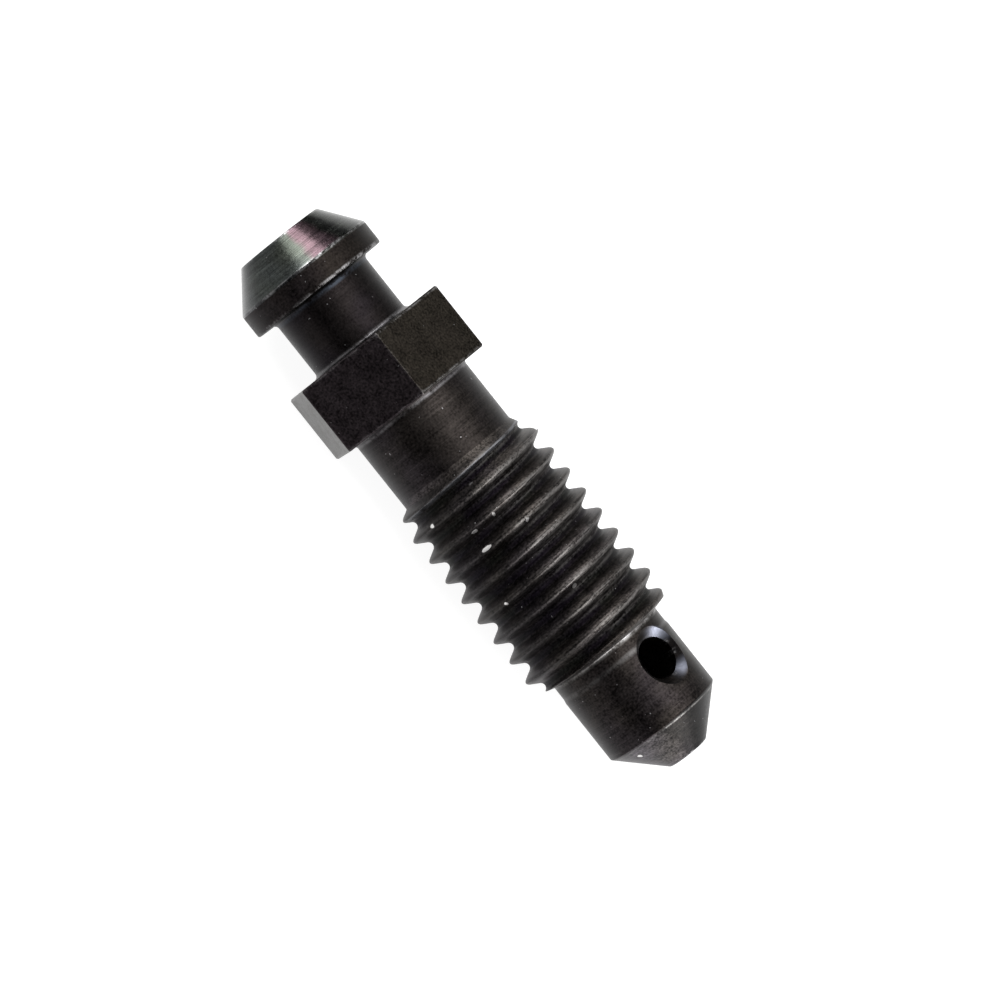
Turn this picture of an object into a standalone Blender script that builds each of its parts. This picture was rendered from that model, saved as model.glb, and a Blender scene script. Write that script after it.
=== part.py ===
"""Bleeder screw: one steel piece, turned from hexagon bar and threaded.

From the nipple end to the sealing end it has a conical hose nipple, a neck, a
hexagon for the spanner, a plain shank, a coarse right-hand thread, a shallow
relief, a plain tip and a sealing cone. A blind bore runs down the axis and a
countersunk cross hole opens it through the side of the tip.

It lies on one flat of its hexagon, with the sealing cone towards +X. The
origin is below the middle of its length, on the surface that it lies on.
"""

import math

import bmesh
import bpy
from mathutils import Vector

# Driving sizes, in metres, and angles, in degrees
HEX_ACROSS_FLATS = 0.0100
HEX_HEIGHT = 0.00445
HEX_EDGE_BREAK = 0.00010

NIPPLE_END_DIAMETER = 0.0056
NIPPLE_DIAMETER = 0.0090
NIPPLE_CONE_LENGTH = 0.0024
NIPPLE_LAND_LENGTH = 0.0014
NECK_DIAMETER = 0.0065
NECK_LENGTH = 0.00395
SHANK_LENGTH = 0.0042

THREAD_SIZE = 0.0100
THREAD_PITCH = 0.0015
THREAD_LENGTH = 0.0140
FLANK_ALLOWANCE = 0.00008
CREST_ALLOWANCE = 0.00014
THREAD_TURN = 305.0
RUN_OUT_ANGLE = 36.0
RUN_OUT_ROUNDING = 0.0020
LEAD_DEPTH = 0.00036
LEAD_ANGLE = 24.0
SHOULDER_ANGLE = 67.0

# How far the plain stretches stay inside the thread's root, on the radius
SHANK_CLEARANCE = 0.00008
RELIEF_CLEARANCE = 0.00033
TIP_CLEARANCE = 0.00028

RELIEF_LENGTH = 0.0012
TIP_LENGTH = 0.0041
SEAT_ANGLE = 90.0
SEAT_END_DIAMETER = 0.0025

BORE_DIAMETER = 0.0030
BORE_PAST_HOLE = 0.0002
DRILL_POINT_ANGLE = 118.0
CROSS_HOLE_DIAMETER = 0.0025
CROSS_HOLE_TO_SEAT = 0.0034
COUNTERSINK_DIAMETER = 0.0038
COUNTERSINK_ANGLE = 90.0

FILLET_RADIUS = 0.0003
EDGE_RADIUS = 0.00008

# How finely the round shapes are faceted
FACETS = 44
HOLE_FACETS = 24
ROOT_FACETS = 2
FILLET_FACETS = 3
MERGE_DISTANCE = 0.000002

# Most of a side's length that the arcs at its two ends may take together
FILLET_SHARE = 0.98

# The black oxide finish
OXIDE_COLOUR = (0.028, 0.027, 0.026, 1.0)
OXIDE_ROUGHNESS = 0.42
OXIDE_METALLIC = 0.85

# The 60 degree thread form, worked out from its size and pitch. Its flanks and
# crests lie a little inside the basic form, so that it runs in a tapped hole
FLANK_SLOPE = math.tan(math.radians(30.0))
FORM_HEIGHT = THREAD_PITCH / 2 / FLANK_SLOPE
ROOT_ROUNDING = THREAD_PITCH / 5
SHARP_CREST = THREAD_SIZE / 2 - FLANK_ALLOWANCE + FORM_HEIGHT / 8
SHARP_ROOT = SHARP_CREST - FORM_HEIGHT
ROOT_RADIUS = SHARP_ROOT + ROOT_ROUNDING
CREST_RADIUS = THREAD_SIZE / 2 - CREST_ALLOWANCE

SHANK_RADIUS = ROOT_RADIUS - SHANK_CLEARANCE
RELIEF_RADIUS = ROOT_RADIUS - RELIEF_CLEARANCE
TIP_RADIUS = ROOT_RADIUS - TIP_CLEARANCE

# Places along the axis, from the nipple end at 0
NIPPLE_RIM = NIPPLE_CONE_LENGTH
NECK_START = NIPPLE_RIM + NIPPLE_LAND_LENGTH
HEX_START = NECK_START + NECK_LENGTH
HEX_END = HEX_START + HEX_HEIGHT
THREAD_START = HEX_END + SHANK_LENGTH
THREAD_END = THREAD_START + THREAD_LENGTH
RELIEF_END = THREAD_END + RELIEF_LENGTH
SEAT_START = RELIEF_END + TIP_LENGTH
SEAT_LENGTH = (TIP_RADIUS - SEAT_END_DIAMETER / 2) / math.tan(math.radians(SEAT_ANGLE / 2))
TOTAL_LENGTH = SEAT_START + SEAT_LENGTH
CROSS_HOLE_PLACE = SEAT_START - CROSS_HOLE_TO_SEAT
BORE_END = CROSS_HOLE_PLACE + CROSS_HOLE_DIAMETER / 2 + BORE_PAST_HOLE

# It lies on a flat, unless a round part is wider than the hexagon
AXIS_HEIGHT = max(HEX_ACROSS_FLATS, NIPPLE_DIAMETER, 2 * CREST_RADIUS) / 2

# Cutters run this far past the faces that they open
CUT_MARGIN = 0.001


def clear_scene():
    """Remove every object that the file starts with."""
    for thing in list(bpy.data.objects):
        bpy.data.objects.remove(thing, do_unlink=True)


def new_collection(name):
    """Make a collection in the scene."""
    collection = bpy.data.collections.new(name)
    bpy.context.scene.collection.children.link(collection)
    return collection


def new_object(name, mesh, collection, parent):
    """Put a mesh in a collection as an object carried by the screw's axis."""
    made = bpy.data.objects.new(name, mesh)
    collection.objects.link(made)
    made.parent = parent
    return made


def as_cutter(thing):
    """Show a tool body as wires, and keep it out of renders."""
    thing.hide_render = True
    thing.display_type = "WIRE"
    return thing


def rounded(corners):
    """Turn corners (radius, height, rounding) into the points of a profile.

    A corner with a rounding becomes an arc, tangent to both of its sides. Two
    arcs that would meet along a side are made smaller until both fit.
    """
    places = [Vector((radius, height)) for radius, height, _ in corners]
    last = len(corners) - 1
    half_angles = [0.0] * len(corners)
    reaches = [0.0] * len(corners)
    for index in range(1, last):
        back = places[index - 1] - places[index]
        ahead = places[index + 1] - places[index]
        half_angles[index] = back.angle(ahead) / 2
        reaches[index] = corners[index][2] / math.tan(half_angles[index])
    for index in range(last):
        room = FILLET_SHARE * (places[index + 1] - places[index]).length
        wanted = reaches[index] + reaches[index + 1]
        if wanted > room:
            reaches[index] *= room / wanted
            reaches[index + 1] *= room / wanted

    points = []
    for index, here in enumerate(places):
        if reaches[index] == 0:
            points.append(here)
            continue
        back = (places[index - 1] - here).normalized()
        ahead = (places[index + 1] - here).normalized()
        arc_radius = reaches[index] * math.tan(half_angles[index])
        centre = here + (back + ahead).normalized() * (arc_radius / math.sin(half_angles[index]))
        first = here + back * reaches[index] - centre
        final = here + ahead * reaches[index] - centre
        for step in range(FILLET_FACETS + 1):
            spoke = first.slerp(final, step / FILLET_FACETS)
            points.append(centre + spoke.normalized() * arc_radius)
    return points


def profile_mesh(name, points, closed=False):
    """Join points (radius, height) into a line of edges in the XZ plane."""
    edges = [(index, index + 1) for index in range(len(points) - 1)]
    if closed:
        edges.append((len(points) - 1, 0))
    mesh = bpy.data.meshes.new(name)
    mesh.from_pydata([(point[0], 0.0, point[1]) for point in points], edges, [])
    return mesh


def spin(thing, facets):
    """Turn a profile once round its Z axis."""
    turning = thing.modifiers.new("turning", "SCREW")
    turning.axis = "Z"
    turning.angle = 2 * math.pi
    turning.steps = facets
    turning.render_steps = facets
    turning.use_merge_vertices = True
    turning.merge_threshold = MERGE_DISTANCE


def combine(target, tool, operation):
    """Add a tool body to the screw, or cut it away."""
    step = target.modifiers.new(tool.name, "BOOLEAN")
    step.operation = operation
    step.solver = "EXACT"
    step.object = tool


def oxide_material():
    """Black oxide on steel, dark and slightly glossy."""
    material = bpy.data.materials.new("black_oxide_steel")
    material.use_nodes = True
    shader = material.node_tree.nodes["Principled BSDF"]
    shader.inputs["Base Color"].default_value = OXIDE_COLOUR
    shader.inputs["Roughness"].default_value = OXIDE_ROUGHNESS
    shader.inputs["Metallic"].default_value = OXIDE_METALLIC
    material.diffuse_color = OXIDE_COLOUR
    return material


def turned_blank(collection, parent):
    """The whole outline as it leaves the lathe, before the thread is cut."""
    run_out = (CREST_RADIUS - SHANK_RADIUS) / math.tan(math.radians(RUN_OUT_ANGLE))
    lead_radius = CREST_RADIUS - LEAD_DEPTH
    lead_end = THREAD_END - (lead_radius - RELIEF_RADIUS) / math.tan(math.radians(SHOULDER_ANGLE))
    lead_start = lead_end - LEAD_DEPTH / math.tan(math.radians(LEAD_ANGLE))
    inside_hex = SHANK_RADIUS + FILLET_RADIUS
    corners = [
        (0.0, TOTAL_LENGTH, 0),
        (SEAT_END_DIAMETER / 2, TOTAL_LENGTH, EDGE_RADIUS),
        (TIP_RADIUS, SEAT_START, EDGE_RADIUS),
        (TIP_RADIUS, RELIEF_END, 0),
        (RELIEF_RADIUS, RELIEF_END - FILLET_RADIUS, 0),
        (RELIEF_RADIUS, THREAD_END, FILLET_RADIUS),
        (lead_radius, lead_end, 0),
        (CREST_RADIUS, lead_start, 0),
        (CREST_RADIUS, THREAD_START + run_out, RUN_OUT_ROUNDING),
        (SHANK_RADIUS, THREAD_START, 0),
        (SHANK_RADIUS, HEX_END, FILLET_RADIUS),
        (inside_hex, HEX_END, 0),
        (inside_hex, HEX_START, 0),
        (NECK_DIAMETER / 2, HEX_START, FILLET_RADIUS),
        (NECK_DIAMETER / 2, NECK_START, FILLET_RADIUS),
        (NIPPLE_DIAMETER / 2, NECK_START, EDGE_RADIUS),
        (NIPPLE_DIAMETER / 2, NIPPLE_RIM, EDGE_RADIUS),
        (NIPPLE_END_DIAMETER / 2, 0.0, EDGE_RADIUS),
        (0.0, 0.0, 0),
    ]
    blank = new_object("bleeder_screw", profile_mesh("blank", rounded(corners)), collection, parent)
    spin(blank, FACETS)
    return blank


def hexagon(collection, parent):
    """The stretch of hexagon bar that is left for the spanner."""
    mesh = bpy.data.meshes.new("hexagon")
    form = bmesh.new()
    corner_radius = HEX_ACROSS_FLATS / math.sqrt(3)
    bmesh.ops.create_cone(
        form, cap_ends=True, segments=6, radius1=corner_radius, radius2=corner_radius, depth=HEX_HEIGHT
    )
    end_edges = [edge for edge in form.edges if edge.verts[0].co.z * edge.verts[1].co.z > 0]
    bmesh.ops.bevel(form, geom=end_edges, offset=HEX_EDGE_BREAK, segments=1, affect="EDGES")
    form.to_mesh(mesh)
    form.free()
    bar = new_object("hexagon", mesh, collection, parent)
    bar.location.z = (HEX_START + HEX_END) / 2
    return as_cutter(bar)


def thread_tool(collection, parent):
    """The helical groove between the threads, as a solid to cut away.

    Its section is the 60 degree form with a rounded root. It starts a turn
    before the thread and ends a turn after it, clear of the shank and the tip.
    """
    arc_centre = SHARP_ROOT + 2 * ROOT_ROUNDING
    outer_radius = (CREST_RADIUS + SHARP_CREST) / 2
    outer_half_width = (outer_radius - SHARP_ROOT) * FLANK_SLOPE
    section = [(outer_radius, outer_half_width), (outer_radius, -outer_half_width)]
    for step in range(ROOT_FACETS + 1):
        turn = math.radians(60.0 - 120.0 * step / ROOT_FACETS)
        section.append((
            arc_centre - ROOT_ROUNDING * math.cos(turn),
            -ROOT_ROUNDING * math.sin(turn),
        ))
    groove = new_object("thread groove", profile_mesh("groove", section, closed=True), collection, parent)
    turns = math.ceil(THREAD_LENGTH / THREAD_PITCH) + 2
    sweep = groove.modifiers.new("sweep", "SCREW")
    sweep.axis = "Z"
    sweep.angle = 2 * math.pi
    sweep.screw_offset = THREAD_PITCH
    sweep.iterations = turns
    sweep.steps = FACETS
    sweep.render_steps = FACETS

    bpy.context.view_layer.update()
    shown = groove.evaluated_get(bpy.context.evaluated_depsgraph_get())
    swept = bpy.data.meshes.new_from_object(shown)
    groove.modifiers.clear()
    form = bmesh.new()
    form.from_mesh(swept)
    open_edges = [edge for edge in form.edges if edge.is_boundary]
    bmesh.ops.holes_fill(form, edges=open_edges, sides=0)
    bmesh.ops.recalc_face_normals(form, faces=form.faces)
    form.to_mesh(swept)
    form.free()
    groove.data = swept
    groove.location.z = THREAD_START - THREAD_PITCH
    groove.rotation_euler.z = math.radians(THREAD_TURN)
    return as_cutter(groove)


def bore_tool(collection, parent):
    """The blind axial bore, with the point that a drill leaves."""
    radius = BORE_DIAMETER / 2
    point_length = radius / math.tan(math.radians(DRILL_POINT_ANGLE / 2))
    outline = [
        (0.0, BORE_END + point_length),
        (radius, BORE_END),
        (radius, -CUT_MARGIN),
        (0.0, -CUT_MARGIN),
    ]
    bore = new_object("axial bore", profile_mesh("bore", outline), collection, parent)
    spin(bore, HOLE_FACETS)
    return as_cutter(bore)


def cross_hole_tool(collection, parent):
    """The cross hole from the axis outwards, with its countersink.

    It is drilled square to one flat of the hexagon, the one that lies upwards.
    """
    hole = CROSS_HOLE_DIAMETER / 2
    mouth = COUNTERSINK_DIAMETER / 2
    slope = math.tan(math.radians(COUNTERSINK_ANGLE / 2))
    sink_bottom = TIP_RADIUS - (mouth - hole) / slope
    sink_top = TIP_RADIUS + CUT_MARGIN
    outline = [
        (0.0, sink_top),
        (mouth + CUT_MARGIN * slope, sink_top),
        (hole, sink_bottom),
        (hole, 0.0),
        (0.0, 0.0),
    ]
    drill = new_object("cross hole", profile_mesh("cross hole", outline), collection, parent)
    spin(drill, HOLE_FACETS)
    drill.location.z = CROSS_HOLE_PLACE
    drill.rotation_euler.y = math.radians(-90.0)
    return as_cutter(drill)


def finish(screw):
    """Keep the machined shape as a plain mesh, with smooth round faces."""
    bpy.context.view_layer.update()
    shown = screw.evaluated_get(bpy.context.evaluated_depsgraph_get())
    machined = bpy.data.meshes.new_from_object(shown)
    screw.modifiers.clear()
    screw.data = machined
    machined.materials.clear()
    machined.materials.append(oxide_material())
    machined.shade_smooth()
    machined.set_sharp_from_angle(angle=math.radians(25.0))


clear_scene()
parts = new_collection("bleeder screw")
cutters = new_collection("cutters")

# The local Z axis of everything is the screw's axis, laid along +X
axis = bpy.data.objects.new("screw axis", None)
parts.objects.link(axis)
axis.location = (-TOTAL_LENGTH / 2, 0.0, AXIS_HEIGHT)
axis.rotation_euler = (0.0, math.radians(90.0), 0.0)

screw = turned_blank(parts, axis)
combine(screw, hexagon(cutters, axis), "UNION")
combine(screw, thread_tool(cutters, axis), "DIFFERENCE")
combine(screw, bore_tool(cutters, axis), "DIFFERENCE")
combine(screw, cross_hole_tool(cutters, axis), "DIFFERENCE")
finish(screw)
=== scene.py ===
"""Looks of the bleeder screw: black oxide steel on a pale studio floor."""

import math

import bmesh
import bpy
from mathutils import Matrix, Vector


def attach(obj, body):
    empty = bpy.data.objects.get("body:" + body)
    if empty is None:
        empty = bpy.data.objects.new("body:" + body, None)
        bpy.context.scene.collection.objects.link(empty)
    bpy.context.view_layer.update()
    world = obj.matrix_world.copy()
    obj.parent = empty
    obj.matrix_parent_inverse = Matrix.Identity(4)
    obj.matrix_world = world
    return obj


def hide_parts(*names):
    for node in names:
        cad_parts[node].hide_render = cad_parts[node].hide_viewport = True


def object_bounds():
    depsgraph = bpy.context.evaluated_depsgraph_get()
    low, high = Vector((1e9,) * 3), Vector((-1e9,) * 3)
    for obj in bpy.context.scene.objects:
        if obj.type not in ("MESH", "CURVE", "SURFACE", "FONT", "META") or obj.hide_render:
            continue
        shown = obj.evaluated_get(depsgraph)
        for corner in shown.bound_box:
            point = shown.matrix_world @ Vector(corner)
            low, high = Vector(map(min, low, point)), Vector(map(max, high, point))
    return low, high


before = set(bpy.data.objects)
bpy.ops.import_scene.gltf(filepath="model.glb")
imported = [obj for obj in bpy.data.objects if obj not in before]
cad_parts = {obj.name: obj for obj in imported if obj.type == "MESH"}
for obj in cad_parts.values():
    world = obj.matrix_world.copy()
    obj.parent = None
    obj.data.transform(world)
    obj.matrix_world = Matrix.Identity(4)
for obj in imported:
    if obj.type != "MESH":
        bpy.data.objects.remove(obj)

cad_low, cad_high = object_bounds()

# The screw is one piece of steel, turned from hexagon bar, drilled, and cut with
# an M10 x 1.5 thread. It is blackened in a hot salt bath, which leaves a thin
# dark film that rubs through to grey on edges, thread crests and small nicks.
MM = 0.001
SCREW_START = cad_low.x
AXIS_HEIGHT = (cad_low.z + cad_high.z) / 2
LENGTH = cad_high.x - cad_low.x

# Places along the axis, from the nipple end, and the radii between them
NIPPLE_RIM = 2.27 * MM
NECK_START = 3.80 * MM
HEX_START = 7.75 * MM
HEX_END = 12.20 * MM
THREAD_START = 16.40 * MM
LEAD_START = 29.35 * MM
LEAD_END = 30.16 * MM
THREAD_END = 30.40 * MM
RELIEF_END = 31.60 * MM
NIPPLE_END_RADIUS = 2.80 * MM
NIPPLE_RADIUS = 4.50 * MM
NECK_RADIUS = 3.25 * MM
HEX_INRADIUS = (cad_high.z - cad_low.z) / 2
SHANK_RADIUS = 4.003 * MM
RELIEF_RADIUS = 3.753 * MM
TIP_RADIUS = 3.803 * MM
SEAT_END_RADIUS = 1.34 * MM
SEAT_START = LENGTH - (TIP_RADIUS - SEAT_END_RADIUS)

# The thread, whose groove crosses the start of the thread at the groove angle
THREAD_PITCH = 1.50 * MM
GROOVE_ANGLE = math.radians(206.0)
SHARP_ROOT_RADIUS = 3.7833 * MM
ROOT_ROUNDING = THREAD_PITCH / 5
CREST_RADIUS = 4.90 * MM
CREST_ROUNDING = 0.20 * MM
LEAD_RADIUS = CREST_RADIUS - 0.30 * MM

# The bore and the cross hole, and a sixth of a turn of the hexagon
BORE_RADIUS = 1.50 * MM
BORE_END = 33.75 * MM
CROSS_HOLE_RADIUS = 1.30 * MM
CROSS_HOLE_PLACE = SEAT_START - 3.21 * MM
SINK_RADIUS = 1.92 * MM
SIXTH = math.pi / 3

# Each stretch of the finish: where it ends, its colour, its roughness, and how
# much its turning marks and its mottling show
STRETCHES = [
    (NIPPLE_RIM, (0.0255, 0.0262, 0.0252), 0.24, 0.75, 0.5),
    (NECK_START, (0.0122, 0.0104, 0.0095), 0.50, 0.3, 0.8),
    (HEX_START, (0.0095, 0.0082, 0.0085), 0.42, 0.3, 0.7),
    (HEX_END, (0.0210, 0.0190, 0.0195), 0.43, 0.0, 1.0),
    (THREAD_START, (0.0158, 0.0138, 0.0134), 0.43, 0.5, 0.8),
    (THREAD_END, (0.0335, 0.0300, 0.0286), 0.48, 0.4, 1.3),
    (SEAT_START, (0.0158, 0.0138, 0.0130), 0.42, 0.5, 1.0),
    (LENGTH, (0.0225, 0.0207, 0.0202), 0.42, 0.6, 1.2),
]
COLOUR, ROUGHNESS, TURNING, MOTTLING = range(1, 5)

# Pale bands, partly thin film and partly painted highlight: middle, half width and colour. They lie in
# the fillets under the nipple and on both sides of the hexagon, and beside edges
THIN_AND_LIT_BANDS = [
    (NECK_START + 0.24 * MM, 0.24 * MM, (0.034, 0.041, 0.052)),
    (HEX_START - 0.12 * MM, 0.17 * MM, (0.16, 0.155, 0.16)),
    (HEX_END + 0.20 * MM, 0.16 * MM, (0.15, 0.145, 0.15)),
    (THREAD_END + 0.10 * MM, 0.16 * MM, (0.13, 0.125, 0.12)),
    (THREAD_END + 0.92 * MM, 0.25 * MM, (0.080, 0.077, 0.076)),
    (SEAT_START + 0.17 * MM, 0.08 * MM, (0.15, 0.145, 0.14)),
]

# Colours of rubbed and bare steel, of the crests' band, which is partly painted highlight, of the first
# turn's painted highlight, and of the holes' painted shade and glint
WORN_STEEL = (0.33, 0.325, 0.33)
BARE_STEEL = (0.62, 0.61, 0.60)
RUBBED_AND_LIT_CREST = (0.145, 0.139, 0.134)
ROOT_LINE = (0.14, 0.14, 0.15)
FIRST_TURN_HIGHLIGHT = (0.20, 0.205, 0.22)
SINK_SHADE = (0.006, 0.006, 0.007)
SINK_GLINT = (0.075, 0.079, 0.096)
BORE_PAINTED_SHADE = (0.012, 0.011, 0.014)

# Tints of the film, which its colour is multiplied by
UNTINTED = (1.0, 1.0, 1.0)
LAVENDER_FILM = (0.98, 0.95, 1.08)
OLIVE_FILM = (1.02, 1.0, 0.95)
PLUM_FLAT = (0.97, 0.87, 0.92)
OLIVE_FLAT = (0.86, 0.81, 0.63)
GREEN_CONE = (0.94, 1.04, 0.97)
PINK_CONE = (1.30, 0.86, 1.06)
PURPLE_ROOT = (1.0, 0.90, 1.26)
GREEN_ROOT = (0.92, 1.04, 0.98)

# Where round the axis the finish is olive, where the seat is painted paler and the thread's crests are
# painted darker, and how far the nipple's film colours and the thread's two pale bands, the crests' band
# and the first turn's painted highlight, are shifted
OLIVE_ANGLE = math.radians(80.0)
SEAT_LIT_ANGLE = math.radians(184.0)
SHADED_SIDE_ANGLE = math.radians(165.0)
FILM_PHASE = math.radians(-130.0)
CREST_LEAN = math.radians(76.0)
FIRST_HIGHLIGHT_LEAN = 1.50

# Sizes of the patterns: across the turning marks, along them, and of the spots
FINE_TURNING = 0.045 * MM
BROAD_TURNING = 0.35 * MM
FINE_LENGTH = 2.5 * MM
BROAD_LENGTH = 4.0 * MM
SMEAR_LENGTH = 1.1 * MM
STREAK_LENGTH = 1.8 * MM
GRAIN_SIZE = 0.13 * MM
BLOTCH_SIZE = 0.8 * MM
CLOUD_SIZE = 3.0 * MM
SPECK_SIZE = 0.17 * MM
FACE_TRAVEL = 0.37
TURNING_DEPTH = 0.0015 * MM
GRAIN_DEPTH = 0.0035 * MM

# Where the parts of the finish begin and fade
HEX_FACE_RADIUS = 4.3 * MM
RIM_FADE = 0.1 * MM
THREAD_FADE_START = THREAD_START + 0.3 * MM
THREAD_FADE_END = THREAD_START + 0.9 * MM
FIRST_TURN_END = THREAD_START + 1.45 * MM
SINK_FADE = 0.30 * MM
UNDER_SURFACE = 0.01 * MM

# How strongly each pattern darkens, lightens or covers the film
MARK_STRENGTH = 2.4
MOTTLE_STRENGTH = 2.2
DARKEST_SHADE = 0.30
PALE_LINE_STRENGTH = 1.1
STREAK_STRENGTH = 2.2
ROOT_DARKENING = 0.78
SIDE_SHADE_DARKENING = 0.55
RUBBED_AND_LIT_COVER = 0.70
ROOT_LINE_COVER = 0.10
FIRST_HIGHLIGHT_COVER = 0.7
SINK_SHADE_COVER = 0.6
BARE_EDGE_COVER = 0.8
BARE_SPECK_COVER = 0.5


class Field:
    """A number at every point, which Python arithmetic turns into Math nodes."""

    def __init__(self, tree, value):
        self.tree = tree
        self.value = value

    def maths(self, operation, *others):
        node = self.tree.nodes.new("ShaderNodeMath")
        node.operation = operation
        for socket, operand in zip(node.inputs, (self, *others)):
            connect(self.tree, operand, socket)
        return Field(self.tree, node.outputs[0])

    def __add__(self, other):
        return self.maths("ADD", other)

    def __sub__(self, other):
        return self.maths("SUBTRACT", other)

    def __mul__(self, other):
        return self.maths("MULTIPLY", other)

    def __truediv__(self, other):
        return self.maths("DIVIDE", other)

    def __neg__(self):
        return self * -1.0

    def __lt__(self, other):
        return self.maths("LESS_THAN", other)

    def __gt__(self, other):
        return self.maths("GREATER_THAN", other)

    def __abs__(self):
        return self.maths("ABSOLUTE")

    def root(self):
        return self.maths("MAXIMUM", 0.0).maths("SQRT")

    def either(self, when_one, when_zero):
        """Pick one of two numbers, with self as the share of the first."""
        return self * (when_one - when_zero) + when_zero

    def rise(self, low, high):
        """0 below low and 1 above high, with a smooth step between."""
        node = self.tree.nodes.new("ShaderNodeMapRange")
        node.interpolation_type = "SMOOTHSTEP"
        connect(self.tree, self, node.inputs["Value"])
        connect(self.tree, low, node.inputs["From Min"])
        connect(self.tree, high, node.inputs["From Max"])
        return Field(self.tree, node.outputs["Result"])


def connect(tree, source, socket):
    """Link a field or an output to a socket, or set the socket's own number."""
    source = getattr(source, "value", source)
    if isinstance(source, bpy.types.NodeSocket):
        tree.links.new(source, socket)
    else:
        socket.default_value = source


def vector_of(tree, x, y, z):
    """Join three numbers into a vector."""
    node = tree.nodes.new("ShaderNodeCombineXYZ")
    for socket, part in zip(node.inputs, (x, y, z)):
        connect(tree, part, socket)
    return node.outputs[0]


def noise(tree, vector, detail, size=1.0):
    """Smooth noise whose spots have about the given size."""
    node = tree.nodes.new("ShaderNodeTexNoise")
    connect(tree, vector, node.inputs["Vector"])
    node.inputs["Scale"].default_value = 1 / size
    node.inputs["Detail"].default_value = detail
    return Field(tree, node.outputs[0])


def turns_from_groove(place, angle, start, pitch):
    """Turns of the thread from the middle of the groove: whole numbers lie on it."""
    return (place - start) / pitch - (angle - GROOVE_ANGLE) / (2 * math.pi)


def blend_colours(tree, share, when_zero, when_one):
    """Mix two colours, each given as numbers or as an output."""
    node = tree.nodes.new("ShaderNodeMix")
    node.data_type = "RGBA"
    colours = [socket for socket in node.inputs if socket.type == "RGBA"]
    for socket, colour in zip(colours, (when_zero, when_one)):
        if isinstance(colour, tuple):
            socket.default_value = (*colour, 1.0)
        else:
            tree.links.new(colour, socket)
    connect(tree, share, node.inputs["Factor"])
    return next(socket for socket in node.outputs if socket.type == "RGBA")


def along_stretches(tree, place, column):
    """A ramp along the axis that holds one column of the stretches."""
    node = tree.nodes.new("ShaderNodeValToRGB")
    ramp = node.color_ramp
    ramp.interpolation = "CONSTANT"
    start = 0.0
    for index, stretch in enumerate(STRETCHES):
        stop = ramp.elements[0] if index == 0 else ramp.elements.new(start)
        stop.position = start
        value = stretch[column]
        stop.color = (*value, 1.0) if isinstance(value, tuple) else (value, value, value, 1.0)
        start = stretch[0] / LENGTH
    ramp.elements.remove(ramp.elements[-1])
    connect(tree, place / LENGTH, node.inputs["Fac"])
    return node.outputs["Color"]


def one_channel(tree, colour):
    """The first channel of a grey colour, as a number."""
    node = tree.nodes.new("ShaderNodeSeparateColor")
    tree.links.new(colour, node.inputs[0])
    return Field(tree, node.outputs[0])


def tinted(tree, colour, amount):
    """Multiply a colour by a number."""
    node = tree.nodes.new("ShaderNodeVectorMath")
    node.operation = "SCALE"
    tree.links.new(colour, node.inputs[0])
    connect(tree, amount, node.inputs["Scale"])
    return node.outputs[0]


def multiplied(tree, colour, other):
    """Multiply two colours."""
    node = tree.nodes.new("ShaderNodeVectorMath")
    node.operation = "MULTIPLY"
    tree.links.new(colour, node.inputs[0])
    tree.links.new(other, node.inputs[1])
    return node.outputs[0]


# The oxide film, built up from its plain tone to the bare steel on top of it
oxide = bpy.data.materials.new("black_oxide_steel")
oxide.use_nodes = True
film = oxide.node_tree
shader = film.nodes["Principled BSDF"]
object_points = film.nodes.new("ShaderNodeTexCoord").outputs["Object"]
parts = film.nodes.new("ShaderNodeSeparateXYZ")
film.links.new(object_points, parts.inputs[0])
place = Field(film, parts.outputs["X"]) - SCREW_START
across = Field(film, parts.outputs["Y"])
up = Field(film, parts.outputs["Z"]) - AXIS_HEIGHT
radius = (across * across + up * up).root()
angle = up.maths("ARCTAN2", across)

tone = along_stretches(film, place, COLOUR)
roughness = one_channel(film, along_stretches(film, place, ROUGHNESS))
turning_share = one_channel(film, along_stretches(film, place, TURNING))
mottle_share = one_channel(film, along_stretches(film, place, MOTTLING))


def drawn_out(lengthwise, length):
    """Places for marks that are drawn out across the axis to about a length."""
    return vector_of(film, lengthwise, across / length, up / length)


# Turning marks run round the axis, on the end faces as well as on the sides
travel = place + radius * FACE_TRAVEL
fine_marks = noise(film, drawn_out(travel / FINE_TURNING, FINE_LENGTH), detail=1.0)
broad_marks = noise(film, drawn_out(travel / BROAD_TURNING, BROAD_LENGTH), detail=2.0)
grain = noise(film, object_points, detail=4.0, size=GRAIN_SIZE)
blotches = noise(film, object_points, detail=3.0, size=BLOTCH_SIZE)
clouds = noise(film, object_points, detail=1.0, size=CLOUD_SIZE)
specks = noise(film, object_points, detail=0.0, size=SPECK_SIZE)

marks = (fine_marks * 0.9 + broad_marks * 0.6 - 0.75) * turning_share
mottle = (grain * 1.5 + blotches * 0.6 - 1.05) * mottle_share
shade = (marks * MARK_STRENGTH + mottle * MOTTLE_STRENGTH + 1.0).maths("MAXIMUM", DARKEST_SHADE)
pale_lines = fine_marks.rise(0.60, 0.74) * broad_marks.rise(0.42, 0.62) * turning_share
colour = tinted(film, tone, shade + pale_lines * PALE_LINE_STRENGTH)

# The film's own hue drifts from lavender to olive, and the hexagon's flats take
# turns between two hues of their own
hexagon = (place > HEX_START) * (place < HEX_END) * (radius > HEX_FACE_RADIUS)
flat = (angle / SIXTH).maths("FLOOR")
flat_hue = (flat * 0.5 - (flat * 0.5).maths("FLOOR")) * 2.0
drift = clouds * 0.8 + (angle - OLIVE_ANGLE).maths("COSINE") * 0.15
round_hue = blend_colours(film, drift.rise(0.25, 0.60), LAVENDER_FILM, OLIVE_FILM)
flat_hues = blend_colours(film, flat_hue, PLUM_FLAT, OLIVE_FLAT)
colour = multiplied(film, colour, blend_colours(film, hexagon, round_hue, flat_hues))
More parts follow.
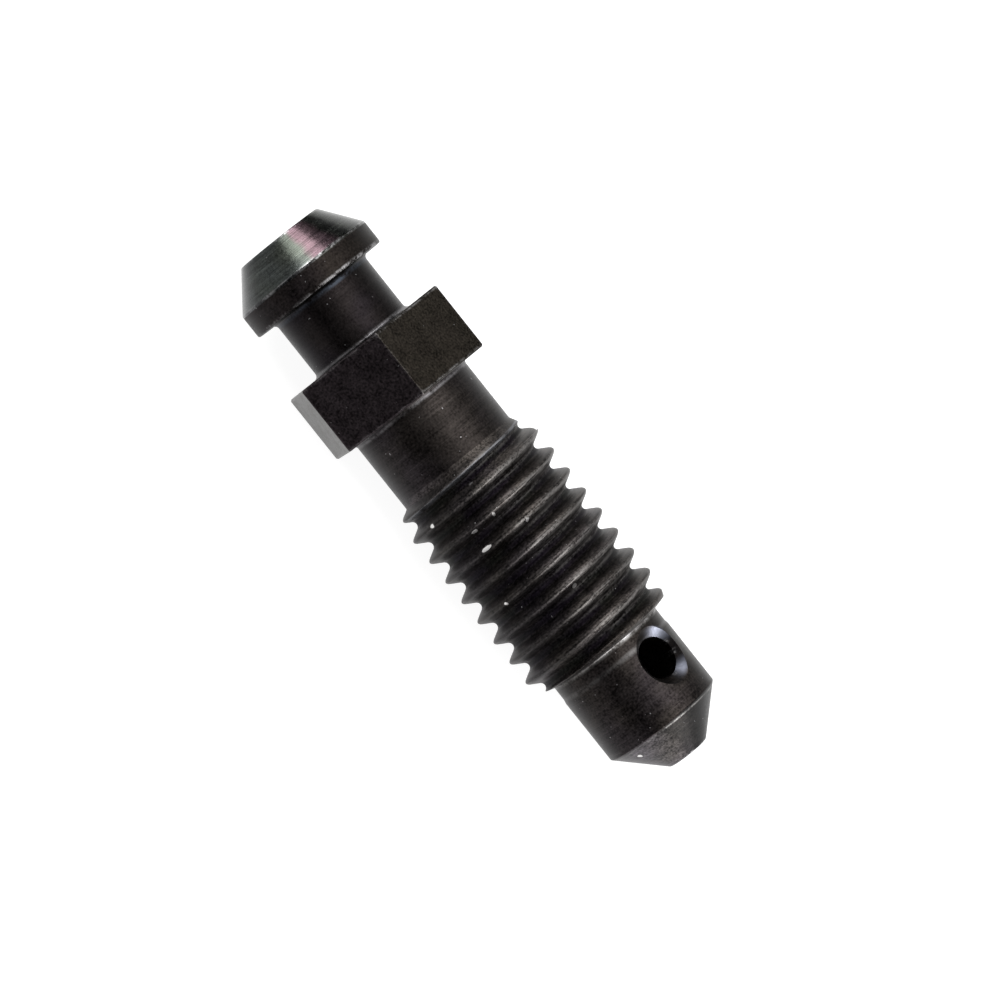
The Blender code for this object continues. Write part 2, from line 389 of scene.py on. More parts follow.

# One side of the sealing cone is painted paler, as painted light, and the other darker, as painted shade
seat = (place > SEAT_START) * (radius > BORE_RADIUS * 0.5)
seat_side = angle + blotches * 0.6 - SEAT_LIT_ANGLE - 0.3
seat_light_and_shade = seat_side.maths("COSINE").rise(0.50, 1.0) * 2.2 - 0.75
colour = tinted(film, colour, seat * seat_light_and_shade + 1.0)

# Interference colours of the thinner film on the nipple's cone
nipple_cone = (-place + NIPPLE_RIM).rise(0.0, RIM_FADE)
pink_share = ((angle + blotches * 0.15) * 2.0 + FILM_PHASE).maths("SINE").rise(0.82, 0.96)
cone_hue = blend_colours(film, pink_share, GREEN_CONE, PINK_CONE)
colour = blend_colours(film, nipple_cone, colour, multiplied(film, colour, cone_hue))

# The thread is darker in the roots and rubbed pale on the crests. The crests' pale band is wear and
# painted highlight: it leans onto the lit flank and is strongest on the lit side, and on the other side
# the crests are painted darker, as painted shade
threaded = place.rise(THREAD_FADE_START, THREAD_FADE_END) * (place < THREAD_END)
wave = turns_from_groove(place, angle, THREAD_START, THREAD_PITCH) * (2 * math.pi)
height = -wave.maths("COSINE")
root = (-height).rise(0.45, 0.98) * threaded
worn_and_lit_side = -(angle - SHADED_SIDE_ANGLE).maths("COSINE").rise(0.60, 0.93) + 1.0
crest = (-(wave - CREST_LEAN).maths("COSINE")).rise(-0.35, 0.50) * threaded
smear = noise(film, drawn_out(wave * 0.9, SMEAR_LENGTH), detail=3.0)
streaks = noise(film, drawn_out(wave * 3.2, STREAK_LENGTH), detail=2.0) - 0.5
colour = tinted(film, colour, streaks * threaded * STREAK_STRENGTH + 1.0)
colour = tinted(film, colour, -root * ROOT_DARKENING + 1.0)
root_hue = blend_colours(film, clouds.rise(0.45, 0.60), PURPLE_ROOT, GREEN_ROOT)
colour = multiplied(film, colour, blend_colours(film, root, UNTINTED, root_hue))
# Painted shade: on the side away from the light the crests are painted darker
painted_shade_side = height.rise(0.2, 0.9) * threaded * (-worn_and_lit_side + 1.0)
colour = tinted(film, colour, -painted_shade_side * SIDE_SHADE_DARKENING + 1.0)
patches = (grain * 0.9 + smear * 0.9 + streaks * 1.2 + 0.15).rise(0.80, 1.30)
# The crests' pale band is wear and painted highlight, strongest on the lit side
rubbed_and_lit = crest * patches * (worn_and_lit_side * 0.88 + 0.12)
colour = blend_colours(film, rubbed_and_lit * RUBBED_AND_LIT_COVER, colour, RUBBED_AND_LIT_CREST)
root_line = (-height).rise(0.985, 1.0) * threaded * (smear + grain * 0.6).rise(0.80, 1.05)
colour = blend_colours(film, root_line * ROOT_LINE_COVER, colour, ROOT_LINE)
# A painted highlight along the ridge of the first turn
first_turn = (place > THREAD_FADE_START) * (place < FIRST_TURN_END) * smear.rise(0.30, 0.55)
first_turn_highlight = (wave + FIRST_HIGHLIGHT_LEAN).maths("COSINE").rise(0.80, 0.98) * first_turn
colour = blend_colours(film, first_turn_highlight * FIRST_HIGHLIGHT_COVER, colour, FIRST_TURN_HIGHLIGHT)

# Pale bands in the fillets and beside edges, partly thin film and partly painted highlight, paler on the
# lit side
round_bar = -hexagon + 1.0
for middle, half_width, band_colour in THIN_AND_LIT_BANDS:
    band = (-abs(place - middle) + half_width).rise(0.0, half_width) * round_bar
    worn_and_lit_band = band * (grain * 0.4 + smear * 0.5 + blotches * 0.5).rise(0.50, 0.85)
    worn_and_lit_band = worn_and_lit_band * (worn_and_lit_side * 0.5 + 0.5)
    colour = blend_colours(film, worn_and_lit_band, colour, band_colour)

# The countersink of the cross hole is painted dark, as painted shade, with a painted glint on each side,
# and the inside of the bore is painted near black, as painted shade
offset = place - CROSS_HOLE_PLACE
from_hole = (offset * offset + across * across).root()
sink_shade_and_glint = (up > TIP_RADIUS * 0.6) * (from_hole > CROSS_HOLE_RADIUS) * (radius < TIP_RADIUS - UNDER_SURFACE)
sink_shade_and_glint = sink_shade_and_glint * (-from_hole + SINK_RADIUS).rise(0.0, SINK_FADE) * across.rise(-0.3 * MM, 1.1 * MM)
colour = blend_colours(film, sink_shade_and_glint * SINK_SHADE_COVER, colour, SINK_SHADE)
sink_shade_and_glint = sink_shade_and_glint * abs(offset - 0.2 * MM).rise(0.45 * MM, 1.05 * MM)
colour = blend_colours(film, sink_shade_and_glint, colour, SINK_GLINT)
inside = (radius < BORE_RADIUS * 1.02) * (place < BORE_END)
colour = blend_colours(film, inside, colour, BORE_PAINTED_SHADE)

# Edges, nicks and specks where the steel is bare. The mesh says where the edges
# and the nicks are, in its attribute "wear"
wear_read = film.nodes.new("ShaderNodeAttribute")
wear_read.attribute_name = "wear"
edge = Field(film, wear_read.outputs["Fac"])
chipped = (grain * 0.5 + smear * 0.3 + blotches * 0.8).rise(0.70, 1.0)
# Bare edges are wear, and paler on the lit side as painted highlight
bare_edge = edge.rise(0.30, 0.95) * chipped * (worn_and_lit_side * 0.7 + 0.3)
bare_nick = edge.rise(1.05, 1.30)
bare_speck = specks.rise(0.845, 0.875) * mottle_share
bare = (bare_edge * BARE_EDGE_COVER).maths("MAXIMUM", bare_speck * BARE_SPECK_COVER)
colour = blend_colours(film, bare, colour, WORN_STEEL)
colour = blend_colours(film, bare_nick, colour, BARE_STEEL)

film.links.new(colour, shader.inputs["Base Color"])
shader.inputs["Metallic"].default_value = 1.0
rough = roughness + (grain - 0.5) * 0.25 + (blotches - 0.5) * 0.12 + rubbed_and_lit * 0.03 + root * 0.20
rough = rough - hexagon * flat_hue * 0.07
connect(film, rough, shader.inputs["Roughness"])

relief = fine_marks * turning_share * TURNING_DEPTH + grain * mottle_share * GRAIN_DEPTH
bump = film.nodes.new("ShaderNodeBump")
bump.inputs["Distance"].default_value = 1.0
connect(film, relief, bump.inputs["Height"])
film.links.new(bump.outputs["Normal"], shader.inputs["Normal"])

# The body's edges, fillets and chamfers
HEX_EDGE_BREAK = 0.10 * MM
HEX_CORNER_ROUNDING = 0.09 * MM
THREAD_END_FILLET = 0.12 * MM
MOUTH_DEPTH = 0.90 * MM
BORE_CHAMFER = 0.14 * MM
EDGE = 0.09 * MM
LAND_EDGE = 0.12 * MM
SEAT_EDGE = 0.14 * MM
FILLET = 0.30 * MM
SHANK_FILLET = 0.42 * MM

# How the thread grows out of the shank, which differs from side to side
EARLY_ANGLE = math.radians(39.57)
RUN_OUT_MIDDLE = THREAD_START + 0.26 * MM
RUN_OUT_SWING = 0.25 * MM
RUN_OUT_SLOPE = 1.30
RUN_OUT_SLOPE_SWING = 0.70
RUN_OUT_EASE = 0.05 * MM
FIRST_CREST_RADIUS = 4.33 * MM
FIRST_CREST_SLOPE = 0.30

# The crests' rounding grows while the bar's height above the sharp root goes
# from the first of these to the second
ROUNDING_FROM = 0.35 * MM
ROUNDING_FULL = 0.70 * MM

# How finely the body is divided, round it and along it
COLUMNS = 216
CORNER_CROWDING = 0.118
ARC_STEPS = 5
COARSE = 0.40 * MM
PLAIN = 0.22 * MM
FINE = 0.060 * MM
HAIR = 0.001 * MM
WELD_DISTANCE = 0.0002 * MM
ROW_GUARD = 0.0001

# Most of a side that one arc may take, and how bare the edges and nicks are
SIDE_SHARE = 0.49
HEX_EDGE_WEAR = 0.62
ROUND_EDGE_WEAR = 0.82
CORNER_WEAR = 0.42
CORNER_WEAR_REACH = 0.07
NICK_WEAR = 2.6

# Corners of the outline: place along the axis, radius, rounding, share of the
# hexagon (1 on the bar's own faces), and the row spacing up to the next corner.
# The first three make the chamfered mouth of the bore
CORNERS = [
    (MOUTH_DEPTH, 0.0, 0.0, 0, COARSE),
    (BORE_CHAMFER * 3, BORE_RADIUS - BORE_CHAMFER * 2, 0.0, 0, COARSE),
    (0.0, BORE_RADIUS + BORE_CHAMFER, EDGE / 2, 0, COARSE),
    (0.0, NIPPLE_END_RADIUS, EDGE, 0, PLAIN),
    (NIPPLE_RIM, NIPPLE_RADIUS, EDGE, 0, PLAIN),
    (NECK_START, NIPPLE_RADIUS, LAND_EDGE, 0, PLAIN),
    (NECK_START, NECK_RADIUS, FILLET, 0, PLAIN),
    (HEX_START, NECK_RADIUS, FILLET, 0, PLAIN),
    (HEX_START, NECK_RADIUS + 2 * FILLET, 0.0, 0, COARSE),
    (HEX_START, HEX_INRADIUS - HEX_EDGE_BREAK, EDGE / 2, 1, FINE),
    (HEX_START + HEX_EDGE_BREAK, HEX_INRADIUS, EDGE / 2, 1, PLAIN),
    (HEX_END - HEX_EDGE_BREAK, HEX_INRADIUS, EDGE / 2, 1, FINE),
    (HEX_END, HEX_INRADIUS - HEX_EDGE_BREAK, EDGE / 2, 1, COARSE),
    (HEX_END, SHANK_RADIUS + SHANK_FILLET, 0.0, 0, FINE),
    (HEX_END, SHANK_RADIUS, SHANK_FILLET, 0, PLAIN),
    (THREAD_START, SHANK_RADIUS, 0.0, 0, FINE),
    (THREAD_START, CREST_RADIUS, 0.0, 0, FINE),
    (LEAD_START, CREST_RADIUS, 0.0, 0, FINE),
    (LEAD_END, LEAD_RADIUS, 0.0, 0, FINE),
    (THREAD_END, RELIEF_RADIUS, THREAD_END_FILLET, 0, FINE),
    (RELIEF_END - FILLET, RELIEF_RADIUS, 0.0, 0, PLAIN),
    (RELIEF_END, TIP_RADIUS, 0.0, 0, PLAIN),
    (SEAT_START, TIP_RADIUS, SEAT_EDGE, 0, PLAIN),
    (LENGTH, SEAT_END_RADIUS, EDGE, 0, COARSE),
    (LENGTH, 0.0, 0.0, 0, COARSE),
]

# Nicks: place along the axis, degrees round it, half length round it and depth
NICK_HALF_WIDTH = 0.16 * MM
NICKS = [
    (21.38 * MM, 150.8, 0.50 * MM, 0.08 * MM),
    (20.21 * MM, 151.0, 0.28 * MM, 0.04 * MM),
    (20.10 * MM, 132.0, 0.14 * MM, 0.04 * MM),
    (18.48 * MM, 174.0, 0.22 * MM, 0.05 * MM),
    (17.90 * MM, 131.0, 0.10 * MM, 0.03 * MM),
    (21.54 * MM, 115.6, 0.16 * MM, 0.04 * MM),
    (24.60 * MM, 166.0, 0.16 * MM, 0.04 * MM),
    (26.20 * MM, 118.0, 0.24 * MM, 0.04 * MM),
    (27.60 * MM, 140.0, 0.12 * MM, 0.03 * MM),
    (36.46 * MM, 177.0, 0.22 * MM, 0.03 * MM),
]

# Rows between these two places follow the helix; the rest go straight round.
# Each pitch has the same rows on both sides of its root, closest at the crest
HELIX_START = THREAD_START + 1.60 * MM
HELIX_END = LEAD_START
ROOT_TO_CREST = [0.055, 0.11, 0.165, 0.21, 0.27, 0.33, 0.385, 0.42, 0.46]
HELIX_ROWS = [-0.50, *(-share for share in reversed(ROOT_TO_CREST)), 0.0, *ROOT_TO_CREST]


def outline_rows(corners):
    """Rows (place, radius, hexagon share, edge, helix) along the corners.

    A corner that is rounded by no more than the land's edge is a worn edge.
    """
    places = [Vector((place, radius)) for place, radius, *_ in corners]
    rows = []
    for index, here in enumerate(places):
        rounding, share, _ = corners[index][2:]
        wear = HEX_EDGE_WEAR if share else ROUND_EDGE_WEAR
        is_edge = wear if 0 < rounding <= LAND_EDGE else 0.0
        stops = [here]
        if rounding:
            back = places[index - 1] - here
            ahead = places[index + 1] - here
            half = back.angle(ahead) / 2
            reach = min(rounding / math.tan(half), back.length * SIDE_SHARE, ahead.length * SIDE_SHARE)
            arc = reach * math.tan(half)
            inward = (back.normalized() + ahead.normalized()).normalized()
            centre = here + inward * (arc / math.sin(half))
            first = here + back.normalized() * reach - centre
            final = here + ahead.normalized() * reach - centre
            stops = [centre + first.slerp(final, step / ARC_STEPS) * arc for step in range(ARC_STEPS + 1)]
        if rows:
            start = Vector(rows[-1][:2])
            start_share = rows[-1][2]
            spacing_before = corners[index - 1][4]
            steps = max(1, math.ceil((stops[0] - start).length / spacing_before))
            for step in range(1, steps):
                between = start.lerp(stops[0], step / steps)
                part_share = start_share + (share - start_share) * step / steps
                rows.append((between.x, between.y, part_share, 0.0, 0.0))
        rows += [(stop.x, stop.y, share, is_edge, 0.0) for stop in stops]
    return rows


def with_helix(rows):
    """Swap the plain rows of the full thread for rows that climb with it.

    They start a pitch early. The tree holds each one back at the first plain
    row until it has climbed past it, and stops it at the last.
    """
    before = [row for row in rows if row[0] < HELIX_START]
    after = [row for row in rows if row[0] > HELIX_END]
    groove = THREAD_START - THREAD_PITCH * GROOVE_ANGLE / (2 * math.pi)
    climbing = []
    for turn in range(-1, math.ceil(LENGTH / THREAD_PITCH)):
        for part in HELIX_ROWS:
            place = groove + THREAD_PITCH * (turn + part)
            if HELIX_START - THREAD_PITCH < place < HELIX_END:
                climbing.append((place, CREST_RADIUS, 0.0, 0.0, 1.0))
    first = (HELIX_START, CREST_RADIUS, 0.0, 0.0, 0.0)
    last = (HELIX_END, CREST_RADIUS, 0.0, 0.0, 0.0)
    return before + [first] + climbing + [last] + after


rows_list = with_helix(outline_rows(CORNERS))
outline_mesh = bpy.data.meshes.new("outline")
outline_mesh.from_pydata([(row[0], row[1], 0.0) for row in rows_list], [], [])
ROW_VALUES = ("place", "radius", "hexagon", "edge", "helix")
for part, name in enumerate(ROW_VALUES):
    values = outline_mesh.attributes.new(name, "FLOAT", "POINT")
    values.data.foreach_set("value", [row[part] for row in rows_list])

body_tree = bpy.data.node_groups.new("turned and threaded body", "GeometryNodeTree")
body_tree.is_modifier = True
body_tree.interface.new_socket("Geometry", in_out="OUTPUT", socket_type="NodeSocketGeometry")
body_tree.interface.new_socket("Geometry", in_out="INPUT", socket_type="NodeSocketGeometry")
SETTINGS = {
    "Screw Start": ("NodeSocketFloat", SCREW_START),
    "Axis Height": ("NodeSocketFloat", AXIS_HEIGHT),
    "Hexagon Inradius": ("NodeSocketFloat", HEX_INRADIUS),
    "Corner Rounding": ("NodeSocketFloat", HEX_CORNER_ROUNDING),
    "Thread Start": ("NodeSocketFloat", THREAD_START),
    "Shank Radius": ("NodeSocketFloat", SHANK_RADIUS),
    "Thread Pitch": ("NodeSocketFloat", THREAD_PITCH),
    "Sharp Root Radius": ("NodeSocketFloat", SHARP_ROOT_RADIUS),
    "Root Rounding": ("NodeSocketFloat", ROOT_ROUNDING),
    "Crest Rounding": ("NodeSocketFloat", CREST_ROUNDING),
    "Helix Start": ("NodeSocketFloat", HELIX_START),
    "Helix End": ("NodeSocketFloat", HELIX_END),
    "Columns": ("NodeSocketInt", COLUMNS),
    "Rows": ("NodeSocketInt", len(rows_list)),
    "Material": ("NodeSocketMaterial", oxide),
}
setting_ids = {}
for name, (kind, _) in SETTINGS.items():
    socket = body_tree.interface.new_socket(name, in_out="INPUT", socket_type=kind)
    setting_ids[name] = socket.identifier

group_input = body_tree.nodes.new("NodeGroupInput")
given = {name: Field(body_tree, group_input.outputs[name]) for name in SETTINGS}


def add_node(kind, **inputs):
    """Add a node to the body's tree and connect its inputs by name."""
    node = body_tree.nodes.new(kind)
    for name, source in inputs.items():
        connect(body_tree, source, node.inputs[name.replace("_", " ")])
    return node


grid = add_node("GeometryNodeMeshGrid", Vertices_X=given["Columns"] + 1.0, Vertices_Y=given["Rows"])
index = Field(body_tree, add_node("GeometryNodeInputIndex").outputs[0])
column = (index / given["Rows"] + ROW_GUARD).maths("FLOOR")
row = index - column * given["Rows"]


def row_value(name):
    """Read one number of the outline at this point's row."""
    named = add_node("GeometryNodeInputNamedAttribute", Name=name)
    named.data_type = "FLOAT"
    sample = body_tree.nodes.new("GeometryNodeSampleIndex")
    sample.data_type = "FLOAT"
    sample.domain = "POINT"
    body_tree.links.new(group_input.outputs["Geometry"], sample.inputs["Geometry"])
    body_tree.links.new(named.outputs["Attribute"], sample.inputs["Value"])
    connect(body_tree, row, sample.inputs["Index"])
    return Field(body_tree, sample.outputs["Value"])


row_place, row_radius, hex_share, row_edge, climbs = (row_value(name) for name in ROW_VALUES)

# Columns stand closer together at the hexagon's six corners
even = column / given["Columns"] * (2 * math.pi)
angle = even - (even * 6.0).maths("SINE") * CORNER_CROWDING
pitch = given["Thread Pitch"]
climbed = row_place + pitch * angle / (2 * math.pi)
held = climbed.maths("MAXIMUM", given["Helix Start"]).maths("MINIMUM", given["Helix End"])
place = climbs.either(held, row_place)

# The hexagon bar, with small roundings on its six corners
inradius = given["Hexagon Inradius"]
rounding = given["Corner Rounding"]
from_corner = abs(angle - (angle / SIXTH).maths("ROUND") * SIXTH)
from_flat = -from_corner + SIXTH / 2
flat_radius = inradius / from_flat.maths("COSINE")
corner_centre = (inradius - rounding) / math.cos(SIXTH / 2)
aside = corner_centre * from_corner.maths("SINE")
corner_arc = (rounding * rounding - aside * aside).root()
corner_radius = corner_centre * from_corner.maths("COSINE") + corner_arc
flat_end = ((inradius - rounding) * math.tan(SIXTH / 2) / inradius).maths("ARCTANGENT")
on_corner = from_flat > flat_end
hexagon_radius = on_corner.either(corner_radius, flat_radius)
blank = row_radius + hex_share * (hexagon_radius - inradius)


def smaller_of(one, other, softness):
    """The smaller of two radii, with a round edge where they cross."""
    overlap = (softness - abs(one - other)).maths("MAXIMUM", 0.0)
    return one.maths("MINIMUM", other) - overlap * overlap / (softness * 4.0)


# The thread grows out of the shank: early and gently at the early angle, late and
# steeply on the other side
side = (angle - EARLY_ANGLE).maths("COSINE")
run_out_start = -side * RUN_OUT_SWING + RUN_OUT_MIDDLE
run_out_slope = -side * RUN_OUT_SLOPE_SWING + RUN_OUT_SLOPE
beyond = (place - run_out_start).maths("MAXIMUM", 0.0)
eased = beyond * beyond / (beyond + RUN_OUT_EASE)
growing = given["Shank Radius"] + run_out_slope * eased
first_crest = (place - given["Thread Start"]) * FIRST_CREST_SLOPE + FIRST_CREST_RADIUS
growing = smaller_of(growing, first_crest, given["Crest Rounding"] + HAIR)
starting = (place > given["Thread Start"] - HAIR) * (place < given["Helix Start"] + HAIR)
blank = starting.either(growing.maths("MINIMUM", blank), blank)

# The 60 degree groove with its round root; crests stay round where it meets the bar
turns = turns_from_groove(place, angle, given["Thread Start"], pitch)
beside = abs(turns - turns.maths("ROUND")) * pitch
root_rounding = given["Root Rounding"]
sharp_root = given["Sharp Root Radius"]
flank = sharp_root + beside * math.sqrt(3.0)
root_arc = sharp_root + root_rounding * 2.0 - (root_rounding * root_rounding - beside * beside).root()
groove = (beside < root_rounding * math.cos(math.pi / 6)).either(root_arc, flank)
softness = given["Crest Rounding"] * (blank - sharp_root).rise(ROUNDING_FROM, ROUNDING_FULL) + HAIR
cut = smaller_of(groove, blank, softness)
threaded = (place > given["Thread Start"]) * (hex_share < 0.5)
radius = threaded.either(cut, blank)

# Small nicks where the screw has knocked against others
dents = []
for nick_place, nick_degrees, half_length, depth in NICKS:
    around = (angle - math.radians(nick_degrees)) * (radius / half_length)
    lengthwise = (place - nick_place) / NICK_HALF_WIDTH
    dent = (-(around * around + lengthwise * lengthwise) + 1.0).maths("MAXIMUM", 0.0)
    radius = radius - dent * depth
    dents.append(dent)
nicked = dents[0]
for dent in dents[1:]:
    nicked = nicked.maths("MAXIMUM", dent)

points = vector_of(
    body_tree,
    place + given["Screw Start"],
    radius * angle.maths("COSINE"),
    radius * angle.maths("SINE") + given["Axis Height"],
)
corner_edge = hex_share * (-from_corner + CORNER_WEAR_REACH).rise(0.0, CORNER_WEAR_REACH) * CORNER_WEAR
wear = row_edge.maths("MAXIMUM", corner_edge) + nicked * NICK_WEAR
shape = add_node("GeometryNodeSetPosition", Geometry=grid.outputs["Mesh"], Position=points)
marked = body_tree.nodes.new("GeometryNodeStoreNamedAttribute")
marked.data_type = "FLOAT"
marked.domain = "POINT"
marked.inputs["Name"].default_value = "wear"
body_tree.links.new(shape.outputs[0], marked.inputs["Geometry"])
connect(body_tree, wear, marked.inputs["Value"])
weld = add_node("GeometryNodeMergeByDistance", Geometry=marked.outputs[0], Distance=WELD_DISTANCE)
realized = add_node("GeometryNodeRealizeInstances", Geometry=weld.outputs[0])
finished = add_node("GeometryNodeSetMaterial", Geometry=realized.outputs[0], Material=given["Material"])
group_output = body_tree.nodes.new("NodeGroupOutput")
body_tree.links.new(finished.outputs[0], group_output.inputs["Geometry"])


def as_plain_mesh(thing):
    """Keep what the object's modifiers make as its own mesh, and remove them."""
    bpy.context.view_layer.update()
    evaluated = thing.evaluated_get(bpy.context.evaluated_depsgraph_get())
    made = bpy.data.meshes.new_from_object(evaluated)
    thing.modifiers.clear()
    thing.data = made


screw = bpy.data.objects.new("screw_body", outline_mesh)
bpy.context.scene.collection.objects.link(screw)
shaping = screw.modifiers.new("shaping", "NODES")
shaping.node_group = body_tree
for name, (_, value) in SETTINGS.items():
    shaping[setting_ids[name]] = value
as_plain_mesh(screw)

# The bore is drilled up the axis from the nipple end, to a 118 degree point. The
# cross hole meets it square to the upper flat, and its mouth is countersunk
HALF_POINT_ANGLE = math.radians(59.0)
DRILL_POINT = BORE_RADIUS / math.tan(HALF_POINT_ANGLE)
DRILL_START = 0.1 * MM
DRILL_START_ON_AXIS = 0.5 * MM
SINK_BOTTOM = TIP_RADIUS - (SINK_RADIUS - CROSS_HOLE_RADIUS)
SINK_TOP = TIP_RADIUS + 0.5 * MM
DRILL_STEPS = 72
DRILL_WELD_DISTANCE = 0.0005 * MM
SHARP_ANGLE = math.radians(30.0)


def turned_tool(name, points, matrix):
    """A closed solid turned from points (height, radius), both ends on its axis."""
    form = bmesh.new()
    outline = [form.verts.new((reach, 0.0, height)) for height, reach in points]
    edges = [form.edges.new(pair) for pair in zip(outline, outline[1:])]
    bmesh.ops.spin(
        form, geom=outline + edges, cent=(0, 0, 0), axis=(0, 0, 1), angle=2 * math.pi, steps=DRILL_STEPS
    )
    bmesh.ops.remove_doubles(form, verts=form.verts, dist=DRILL_WELD_DISTANCE)
    bmesh.ops.recalc_face_normals(form, faces=form.faces)
    form.transform(matrix)
    mesh = bpy.data.meshes.new(name)
    form.to_mesh(mesh)
    form.free()
    mesh.materials.append(oxide)
    tool = bpy.data.objects.new(name, mesh)
    bpy.context.scene.collection.objects.link(tool)
    return tool


along_axis = Matrix.Translation((SCREW_START, 0.0, AXIS_HEIGHT)) @ Matrix.Rotation(math.pi / 2, 4, "Y")
upright = Matrix.Translation((SCREW_START + CROSS_HOLE_PLACE, 0.0, AXIS_HEIGHT))
drill = turned_tool("drill", [
    (DRILL_START_ON_AXIS, 0.0),
    (DRILL_START, BORE_RADIUS),
    (BORE_END, BORE_RADIUS),
    (BORE_END + DRILL_POINT, 0.0),
], along_axis)
cross_drill = turned_tool("cross_drill", [
    (0.0, 0.0),
    (0.0, CROSS_HOLE_RADIUS),
    (SINK_BOTTOM, CROSS_HOLE_RADIUS),
    (SINK_TOP, SINK_RADIUS + SINK_TOP - TIP_RADIUS),
    (SINK_TOP, 0.0),
], upright)
for tool in (drill, cross_drill):
    step = screw.modifiers.new(tool.name, "BOOLEAN")
    step.operation = "DIFFERENCE"
    step.solver = "EXACT"
    step.object = tool
as_plain_mesh(screw)
for tool in (drill, cross_drill):
    bpy.data.objects.remove(tool)
screw.data.shade_smooth()
screw.data.set_sharp_from_angle(angle=SHARP_ANGLE)

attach(screw, "root")
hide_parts("bleeder_screw")

# The floor is a wide pale sheet. The camera and the steel's reflections see it
# near white, and it keeps a faint soft shadow of the screw.
FLOOR_REACH = 0.6
FLOOR_COLOUR = (0.80, 0.80, 0.80)
FLOOR_SEEN_COLOUR = (0.25, 0.25, 0.25)
FLOOR_GLOW = 0.92
FLOOR_ROUGHNESS = 0.9
WHITE = (1.0, 1.0, 1.0, 1.0)


def seen_directly(tree):
    """1 for rays from the camera, and for those that polished steel sends on."""
    light_path = tree.nodes.new("ShaderNodeLightPath")
    seen = Field(tree, light_path.outputs["Is Camera Ray"])
    for ray in ("Is Glossy Ray", "Is Transmission Ray"):
        seen = seen.maths("MAXIMUM", light_path.outputs[ray])
    return seen


def sheet_object(name, corners, material):
    """One flat four-sided sheet of the studio."""
    mesh = bpy.data.meshes.new(name)
    mesh.from_pydata(corners, [], [(0, 1, 2, 3)])
    mesh.materials.append(material)
    made = bpy.data.objects.new(name, mesh)
    bpy.context.scene.collection.objects.link(made)
    return made


pale = bpy.data.materials.new("pale_floor")
pale.use_nodes = True
pale_shader = pale.node_tree.nodes["Principled BSDF"]
pale_shader.inputs["Roughness"].default_value = FLOOR_ROUGHNESS
pale_shader.inputs["Specular IOR Level"].default_value = 0.0
pale_shader.inputs["Emission Color"].default_value = WHITE
floor_seen = seen_directly(pale.node_tree)
connect(pale.node_tree, floor_seen * FLOOR_GLOW, pale_shader.inputs["Emission Strength"])
floor_tone = blend_colours(pale.node_tree, floor_seen, FLOOR_COLOUR, FLOOR_SEEN_COLOUR)
pale.node_tree.links.new(floor_tone, pale_shader.inputs["Base Color"])
sheet_object("floor", [
    (-FLOOR_REACH, -FLOOR_REACH, 0.0),
    (FLOOR_REACH, -FLOOR_REACH, 0.0),
    (FLOOR_REACH, FLOOR_REACH, 0.0),
    (-FLOOR_REACH, FLOOR_REACH, 0.0),
], pale)

# Two dark cards stand round the screw, as a photographer places them. Only the
# steel's reflections see them. The front one keeps the hexagon's front flat
# dark, and the corner one the right side of the nipple's cone.
CARD_COLOUR = (0.03, 0.03, 0.035, 1.0)
CARD_FOOT = 0.002
dark = bpy.data.materials.new("dark_card")
dark.use_nodes = True
dark_shader = dark.node_tree.nodes["Principled BSDF"]
dark_shader.inputs["Base Color"].default_value = CARD_COLOUR
dark_shader.inputs["Roughness"].default_value = 1.0


def dark_card(name, start, end, top):
    """An upright dark sheet between two points just over the floor, up to a height."""
    corners = [(*start, CARD_FOOT), (*end, CARD_FOOT), (*end, top), (*start, top)]
    card = sheet_object(name, corners, dark)
    card.visible_camera = False
    card.visible_diffuse = False
    card.visible_shadow = False


dark_card("front_card", start=(-0.40, -0.26), end=(0.40, -0.26), top=0.18)
dark_card("corner_card", start=(-0.34, 0.20), end=(-0.10, 0.34), top=0.13)

# The light is a wide softbox overhead, a strip beyond each end of the screw
# and a plain white room.
ROOM_LIGHT = 0.6
POWER_PER_BRIGHTNESS = 4


def softbox(name, width, depth, brightness, place):
    """A soft rectangular lamp that faces the screw."""
    lamp = bpy.data.lights.new(name, "AREA")
    lamp.shape = "RECTANGLE"
    lamp.size = width
    lamp.size_y = depth
    lamp.energy = brightness * width * depth * POWER_PER_BRIGHTNESS
    holder = bpy.data.objects.new(name, lamp)
    bpy.context.scene.collection.objects.link(holder)
    holder.location = place
    holder.rotation_euler = Vector(place).to_track_quat("Z", "Y").to_euler()


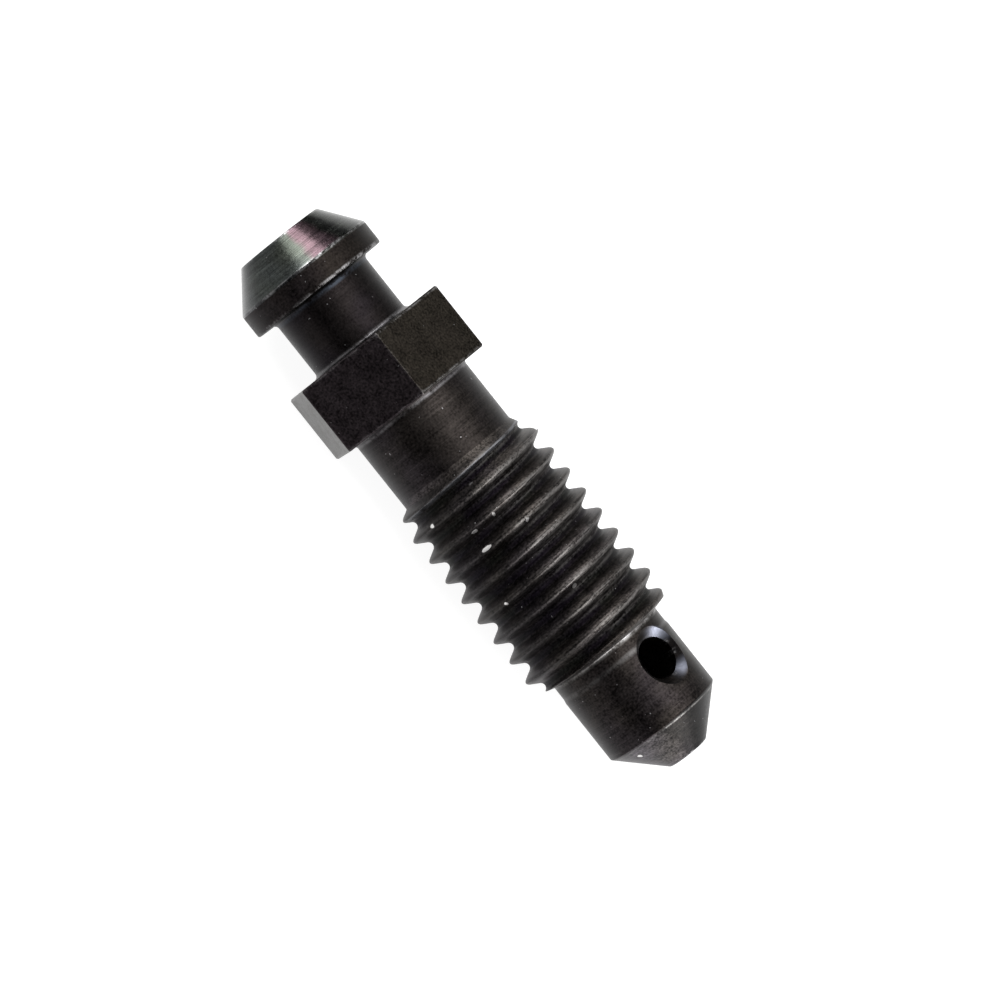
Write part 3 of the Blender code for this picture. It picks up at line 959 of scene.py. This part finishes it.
world = bpy.data.worlds.new("white_room")
world.use_nodes = True
bpy.context.scene.world = world
background = world.node_tree.nodes["Background"]
background.inputs["Color"].default_value = WHITE
room = seen_directly(world.node_tree) * (1.0 - ROOM_LIGHT) + ROOM_LIGHT
connect(world.node_tree, room, background.inputs["Strength"])
softbox("overhead_softbox", width=0.40, depth=0.24, brightness=3.8, place=(0.0, -0.02, 0.40))
softbox("nipple_side_strip", width=0.20, depth=0.09, brightness=15.0, place=(-0.36, 0.010, 0.13))
softbox("tip_side_strip", width=0.16, depth=0.14, brightness=20.0, place=(0.35, 0.010, 0.08))

# The camera looks down on the screw as the photograph does: spun round the
# screw's axis, tilted a little towards the nipple end, and rolled in the frame.
VIEW_SPIN = math.radians(39.57)
VIEW_TILT = math.radians(2.54)
VIEW_ROLL = math.radians(51.48)
VIEW_DISTANCE = 277.9 * MM
VIEW_RIGHT = 0.9277 * MM
VIEW_DOWN = 0.2216 * MM
FOCAL_PIXELS = 4775.0
PHOTO_PIXELS = 1000.0
SENSOR_WIDTH = 36.0
NEAREST_SEEN = 0.01

front = Vector((0.0, -math.sin(VIEW_SPIN), math.cos(VIEW_SPIN)))
sideways = Vector((0.0, math.cos(VIEW_SPIN), math.sin(VIEW_SPIN)))
along = Vector((1.0, 0.0, 0.0))
toward = front * math.cos(VIEW_TILT) - along * math.sin(VIEW_TILT)
lengthwise = along * math.cos(VIEW_TILT) + front * math.sin(VIEW_TILT)
right = lengthwise * math.cos(VIEW_ROLL) + sideways * math.sin(VIEW_ROLL)
down = lengthwise * math.sin(VIEW_ROLL) - sideways * math.cos(VIEW_ROLL)
camera = bpy.data.cameras.new("camera")
camera.sensor_width = SENSOR_WIDTH
camera.lens = camera.sensor_width * FOCAL_PIXELS / PHOTO_PIXELS
camera.clip_start = NEAREST_SEEN
camera_object = bpy.data.objects.new("camera", camera)
bpy.context.scene.collection.objects.link(camera_object)
middle = Vector((0.0, 0.0, AXIS_HEIGHT))
stand = middle + toward * VIEW_DISTANCE + right * VIEW_RIGHT + down * VIEW_DOWN
turned = Matrix((right, -down, toward)).transposed().to_4x4()
camera_object.matrix_world = Matrix.Translation(stand) @ turned
bpy.context.scene.camera = camera_object
bpy.context.scene.view_settings.view_transform = "Standard"
